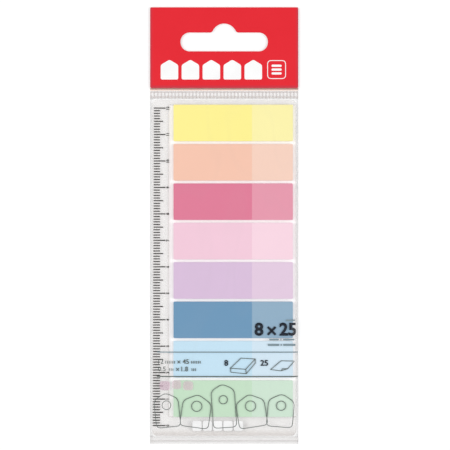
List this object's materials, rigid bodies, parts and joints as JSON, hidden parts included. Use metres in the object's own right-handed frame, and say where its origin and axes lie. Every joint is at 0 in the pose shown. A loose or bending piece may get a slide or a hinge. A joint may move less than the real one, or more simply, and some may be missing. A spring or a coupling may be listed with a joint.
{
  "type": "sticky index tabs",
  "caption": "Flat hanging pack of sticky film index tabs: colour pads stacked down a clear ruler card, in a clear film bag under a red header with a hanging slot.",
  "frame": {"origin": "under the middle of the pack, on the plane that its back lies on", "axes": "+X across the pack to the right of its printed front, +Y up the pack to the header, +Z out of its front, away from what it lies on"},
  "size_m": [0.056, 0.165, 0.0033],
  "materials": {
    "clear_film": "clear thin film",
    "red_film": "printed film, satin",
    "clear_card": "clear, slightly frosted",
    "yellow_tabs": "satin film",
    "peach_tabs": "satin film",
    "rose_tabs": "satin film",
    "pink_tabs": "satin film",
    "lilac_tabs": "satin film",
    "blue_tabs": "satin film",
    "sky_tabs": "satin film",
    "green_tabs": "satin film"
  },
  "bodies": {
    "root": {"film_bag": "clear_film", "header": "red_film", "ruler_card": "clear_card", "tab_pad_yellow": "yellow_tabs", "tab_pad_peach": "peach_tabs", "tab_pad_rose": "rose_tabs", "tab_pad_pink": "pink_tabs", "tab_pad_lilac": "lilac_tabs", "tab_pad_blue": "blue_tabs", "tab_pad_sky": "sky_tabs", "tab_pad_green": "green_tabs"}
  },
  "joints": []
}
